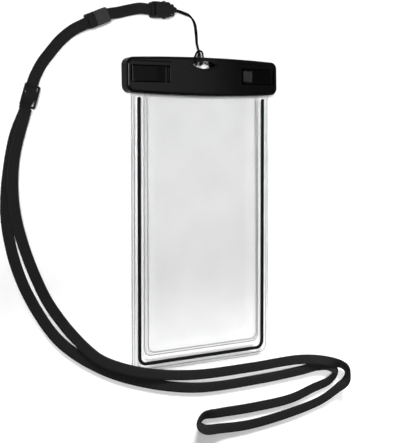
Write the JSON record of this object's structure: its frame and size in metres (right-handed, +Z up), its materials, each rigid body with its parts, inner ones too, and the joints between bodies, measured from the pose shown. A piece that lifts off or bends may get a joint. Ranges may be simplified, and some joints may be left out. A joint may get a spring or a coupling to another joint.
{
  "type": "waterproof phone pouch",
  "caption": "Clear waterproof phone pouch with a black clamp bar, locking levers and a flat neck lanyard, lying on its back.",
  "frame": {"origin": "middle of the pouch on the surface it lies on, taken without the lanyard", "axes": "+X to the right, +Y along the pouch towards the clamp bar, +Z up out of the front film"},
  "size_m": [0.2665, 0.2903, 0.0114],
  "materials": {
    "clear_film": "clear, smooth film",
    "strip": "satin black",
    "bar": "glossy black moulding",
    "seal": "soft matt",
    "lever": "satin black moulding",
    "fitting": "satin black moulding",
    "clasp": "satin dark grey moulding",
    "cord": "fine braided cord",
    "webbing": "ribbed flat webbing"
  },
  "bodies": {
    "root": {"front_film": "clear_film", "rear_film": "clear_film", "border_strip": "strip", "front_shell": "bar", "rear_shell": "bar", "front_seal_pad": "seal", "rear_seal_pad": "seal", "buckle_socket": "fitting", "buckle_plug": "fitting", "clasp_cap": "fitting", "clasp_body": "clasp", "strap_slider": "fitting", "hitch_cord": "cord", "upper_strap": "webbing", "doubled_strap": "webbing", "neck_strap": "webbing"},
    "left_lever": {"left_lever": "lever"},
    "right_lever": {"right_lever": "lever"}
  },
  "joints": [
    {"name": "left_lever_hinge", "type": "hinge", "parent": "root", "child": "left_lever", "pos_m": [-0.0524, 0.0899, 0.00785], "axis": [0, -1, 0], "range_deg": [0, 100]},
    {"name": "right_lever_hinge", "type": "hinge", "parent": "root", "child": "right_lever", "pos_m": [0.0524, 0.0899, 0.00785], "axis": [0, 1, 0], "range_deg": [0, 100]}
  ]
}
